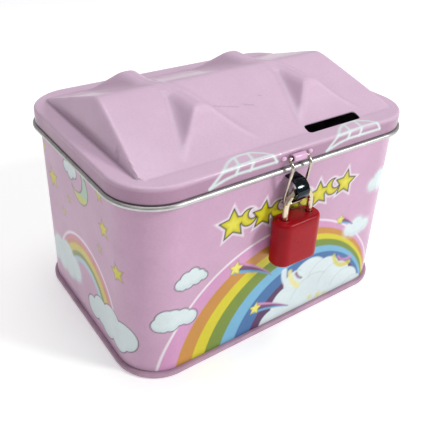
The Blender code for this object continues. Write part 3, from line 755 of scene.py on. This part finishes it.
HASP_Y, HASP_Z, HASP_HALF = -48.2, 80.7, 4.2
half = [
    (0.0, HASP_Y, HASP_Z), (2.8, HASP_Y, HASP_Z), (3.9, HASP_Y, HASP_Z), (HASP_HALF, HASP_Y - 0.3, 80.2),
    (HASP_HALF, -48.9, 79.9), (HASP_HALF, -50.0, 78.7), (HASP_HALF, -50.35, 77.3), (HASP_HALF, -50.05, 75.6),
    (HASP_HALF, -49.1, 71.0), (HASP_HALF, -48.2, 66.5), (HASP_HALF, -48.0, 64.0), (HASP_HALF, -48.0, 62.4),
    (3.9, -48.0, 61.5), (2.9, -48.0, 61.5),
]
loop = half + [(-x, y, z) for x, y, z in reversed(half[1:])]
HASP_R = 0.6
hasp_mesh = sweep(smooth_path(loop, True), circle(HASP_R, 20), (0, 1, 0), True)
hasp = solid("hasp_loop", *hasp_mesh, WIRE, "hasp", "bright_steel")
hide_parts("hasp_wire")

STAPLE_HALF, STAPLE_THICK = 2.8, 0.8
inner_y = -HALF_Y + SHEET + 0.7
bow = [
    (inner_y, 75.9), (inner_y, 73.2), (inner_y - 0.35, 72.45), (-46.0, 72.2), (-48.2, 72.15), (-49.9, 71.8),
    (-51.3, 71.0), (-52.2, 69.9), (-52.7, 68.8), (-52.8, 67.8), (-52.5, 66.7), (-51.8, 65.3), (-50.4, 63.9),
    (-48.6, 63.0), (-46.9, 62.65), (-46.0, 62.6), (inner_y - 0.35, 62.4), (inner_y, 61.6), (inner_y, 58.9),
]
STAPLE_R = 0.28
strap = rounded(0, 0, STAPLE_THICK / 2, STAPLE_HALF, STAPLE_R, 5, (*CORNERS[1:], (1, -1, 270)))
path = smooth_path([(0.0, y, z) for y, z in bow], False)
staple = solid("staple_strap", *sweep(path, strap, (1, 0, 0), False), NICKEL, "box", "dark_nickel")
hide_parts("staple")

# barrel and lugs on the lid's skirt
BARREL_SIDES = 28
barrel_profile = [  # radius, place along the barrel
    (0.95, -3.0), (1.2, -3.0), (1.42, -2.8), (1.45, -2.5), (1.45, 2.5), (1.42, 2.8), (1.2, 3.0), (0.95, 3.0),
    (0.9, 2.9), (0.9, -2.9),
]
rings = [
    np.column_stack([np.full(BARREL_SIDES, x), circle(r, BARREL_SIDES) + (HASP_Y, HASP_Z)]) for r, x in barrel_profile
]
points = np.concatenate(rings)
colour = np.tile(ink(214, 172, 204), (len(points), 1))
solid(
    "hasp_barrel", points, outward(points, strip(len(rings), BARREL_SIDES, 0, True)), LID_INK, "lid", "lid_pink_tin",
    colour,
)

LUG_X, LUG_Y, LUG_Z, LUG_SIDES = 6.1, -HALF_Y - SKIRT_OUT - 0.05, 80.9, 24
LUG_HALF = (1.15, 0.95, 0.85)  # half sizes of a lug, an ellipsoid
for sign, label in ((-1, "left"), (1, "right")):
    rings = []
    for t in np.radians(np.linspace(-84, 84, 15)):
        oval = circle(math.cos(t), LUG_SIDES) * LUG_HALF[1:] + (LUG_Y, LUG_Z)
        rings.append(np.column_stack([np.full(LUG_SIDES, sign * LUG_X + LUG_HALF[0] * math.sin(t)), oval]))
    points = np.concatenate(rings + [[rings[0].mean(0), rings[-1].mean(0)]])
    triangles = np.concatenate([strip(len(rings), LUG_SIDES), fans(len(rings), LUG_SIDES, len(points))])
    colour = np.tile(ink(222, 184, 214), (len(points), 1))
    solid(f"hasp_lug_{label}", points, outward(points, triangles), LID_INK, "lid", "lid_pink_tin", colour, 80.0)

# ---------------------------------------------------------------- padlock
PAD_X, PAD_Y, PAD_LOW, PAD_TOP = 0.3, -50.4, 38.8, 57.4
PAD_HALF_W, PAD_HALF_T, PAD_R = 10.0, 4.75, 4.4
LEG, LEG_HOLE_R = 5.85, 1.45


def pad_section(inset, z, corner=14):
    """The padlock's outline, rounded at its narrow sides, with short straight runs."""
    flat = rounded(PAD_X, PAD_Y, PAD_HALF_W - inset, PAD_HALF_T - inset, PAD_R - inset, corner)
    return np.array([(x, y, z) for x, y in flat])


def holed_cap(outer, holes, z, up):
    """Points and faces of a flat cap with round holes, by constrained triangulation."""
    points = [p[:2] for p in outer]
    loops = [list(range(len(points)))]
    for cx, r in holes:
        start = len(points)
        points += (circle(r) + (PAD_X + cx, PAD_Y)).tolist()
        loops.append(list(range(start, len(points))))
    edges = [(row[i], row[(i + 1) % len(row)]) for row in loops for i in range(len(row))]
    made = delaunay_2d_cdt([Vector(p) for p in points], edges, [], 1, 1e-7)
    tri = np.array(made[2])
    flat = np.array(points)
    mid = flat[tri].mean(axis=1)
    for cx, r in holes:
        keep = np.hypot(mid[:, 0] - PAD_X - cx, mid[:, 1] - PAD_Y) > r * 0.985
        tri, mid = tri[keep], mid[keep]
    tri = counter_clockwise(flat, tri)
    return np.column_stack([flat, np.full(len(flat), z)]), tri if up else tri[:, ::-1], loops


edge = [(0.75, PAD_LOW), (0.3, PAD_LOW + 0.1), (0.06, PAD_LOW + 0.42), (0.0, PAD_LOW + 1.0)]
edge += [(0.0, z) for z in np.linspace(PAD_LOW + 2, PAD_TOP - 2.4, 10)]
edge += [
    (0.03, PAD_TOP - 1.5), (0.16, PAD_TOP - 0.85), (0.45, PAD_TOP - 0.35), (0.85, PAD_TOP - 0.08), (1.3, PAD_TOP),
]
PAD_WALL, PAD_ROOF = 0.6, 0.8
outer = [pad_section(i, z) for i, z in edge]
inner = [
    pad_section(PAD_WALL, PAD_TOP - PAD_ROOF), pad_section(PAD_WALL, PAD_LOW + 0.3), pad_section(0.68, PAD_LOW),
]
size = len(outer[0])
holes = ((LEG, LEG_HOLE_R), (-LEG, LEG_HOLE_R))
top_points, top_faces, loops = holed_cap(outer[-1], holes, PAD_TOP, True)
under_points, under_faces, _ = holed_cap(inner[0], holes, PAD_TOP - PAD_ROOF, False)
walls = np.concatenate(outer[:-1])
inside = np.concatenate(inner[1:])
points = np.concatenate([top_points, under_points, walls, inside])
n_top, n_under, n_wall = len(top_points), len(under_points), len(walls)
wall_at, inside_at = n_top + n_under, n_top + n_under + n_wall
ring_at = np.arange(size)
parts = [top_faces, under_faces + n_top, strip(len(outer) - 1, size, wall_at)]
parts.append(join(ring_at, wall_at + (len(outer) - 2) * size + ring_at))
parts.append(join(inside_at + ring_at, n_top + ring_at))
parts.append(strip(2, size, inside_at)[:, ::-1])
parts.append(join(wall_at + ring_at, inside_at + size + ring_at))
for loop_ids in loops[1:]:
    ids = np.array(loop_ids)
    parts.append(join(n_top + ids, ids))
jacket = solid(
    "padlock_case_shell", points, outward(points, np.concatenate(parts)), RED, "padlock_case", "red_enamel", None, 50.0
)
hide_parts("padlock_jacket")

# the CAD's own pieces that stay in view keep their shapes
for node, look in (
    ("hinge_leaf_body_left", STEEL), ("hinge_leaf_body_right", STEEL), ("hinge_pin_left", WIRE),
    ("hinge_pin_right", WIRE), ("hinge_leaf_lid_left", STEEL), ("hinge_leaf_lid_right", STEEL),
    ("shackle", SHACKLE), ("lock_block", BRASS), ("lock_bottom_plate", STEEL), ("shackle_stop_pin", WIRE),
    ("shackle_spring", SPRING), ("latch_spring", SPRING), ("lock_plug", BRASS), ("latch", WIRE),
):
    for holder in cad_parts[node].material_slots:
        holder.material = look

# ---------------------------------------------------------------- stage, light, camera
FLOOR_HALF = 3.0  # metres
floor_data = bpy.data.meshes.new("floor")
floor_corners = [(x * FLOOR_HALF, y * FLOOR_HALF, 0) for x, y in ((-1, -1), (1, -1), (1, 1), (-1, 1))]
floor_data.from_pydata(floor_corners, [], [(0, 1, 2, 3)])
floor = bpy.data.objects.new("floor", floor_data)
bpy.context.scene.collection.objects.link(floor)
floor_look, tree, shader = nodes_of("floor_paper")
shader.inputs["Base Color"].default_value = (0.93, 0.93, 0.93, 1)
shader.inputs["Roughness"].default_value = 0.9
shader.inputs["Specular IOR Level"].default_value = 0.1
shader.inputs["Emission Color"].default_value = (1.0, 1.0, 1.0, 1)
shader.inputs["Emission Strength"].default_value = 0.3
floor_data.materials.append(floor_look)

world = bpy.data.worlds.new("studio")
world.use_nodes = True
world.node_tree.nodes["Background"].inputs["Color"].default_value = (1.0, 1.0, 1.0, 1)
world.node_tree.nodes["Background"].inputs["Strength"].default_value = 0.35
bpy.context.scene.world = world
bpy.context.scene.view_settings.view_transform = "Standard"


def area(name, at, size, power, aim=(0.0, 0.0, 0.045)):
    """A round soft light turned towards the aim. Places and size are in metres, power in watts."""
    data = bpy.data.lights.new(name, "AREA")
    data.shape = "DISK"
    data.size = size
    data.energy = power
    made = bpy.data.objects.new(name, data)
    made.location = at
    made.rotation_mode = "QUATERNION"
    made.rotation_quaternion = (Vector(aim) - Vector(at)).to_track_quat("-Z", "Y")
    bpy.context.scene.collection.objects.link(made)


area("key", (0.62, -0.78, 0.66), 0.24, 7.0)
area("glint", (-0.46, -0.27, 0.85), 0.07, 0.35)
area("top", (0.1, 0.15, 1.1), 0.8, 4.6)

az, el, roll = (math.radians(v) for v in (CAM_AZ, CAM_EL, CAM_ROLL))
ahead = Vector((math.sin(az) * math.cos(el), math.cos(az) * math.cos(el), -math.sin(el)))
right = Vector((math.cos(az), -math.sin(az), 0))
up = right.cross(ahead)
right, up = right * math.cos(roll) + up * math.sin(roll), up * math.cos(roll) - right * math.sin(roll)
camera_data = bpy.data.cameras.new("camera")
camera_data.lens, camera_data.sensor_width = CAM_LENS, 36.0
camera_data.shift_x, camera_data.shift_y = CAM_SHIFT
camera_data.clip_start = 0.01
camera = bpy.data.objects.new("camera", camera_data)
camera.matrix_world = Matrix((
    (right.x, up.x, -ahead.x, CAM_AT[0] * MM), (right.y, up.y, -ahead.y, (CAM_AT[1] + SHIFT_Y) * MM),
    (right.z, up.z, -ahead.z, CAM_AT[2] * MM), (0, 0, 0, 1),
))
bpy.context.scene.collection.objects.link(camera)
bpy.context.scene.camera = camera
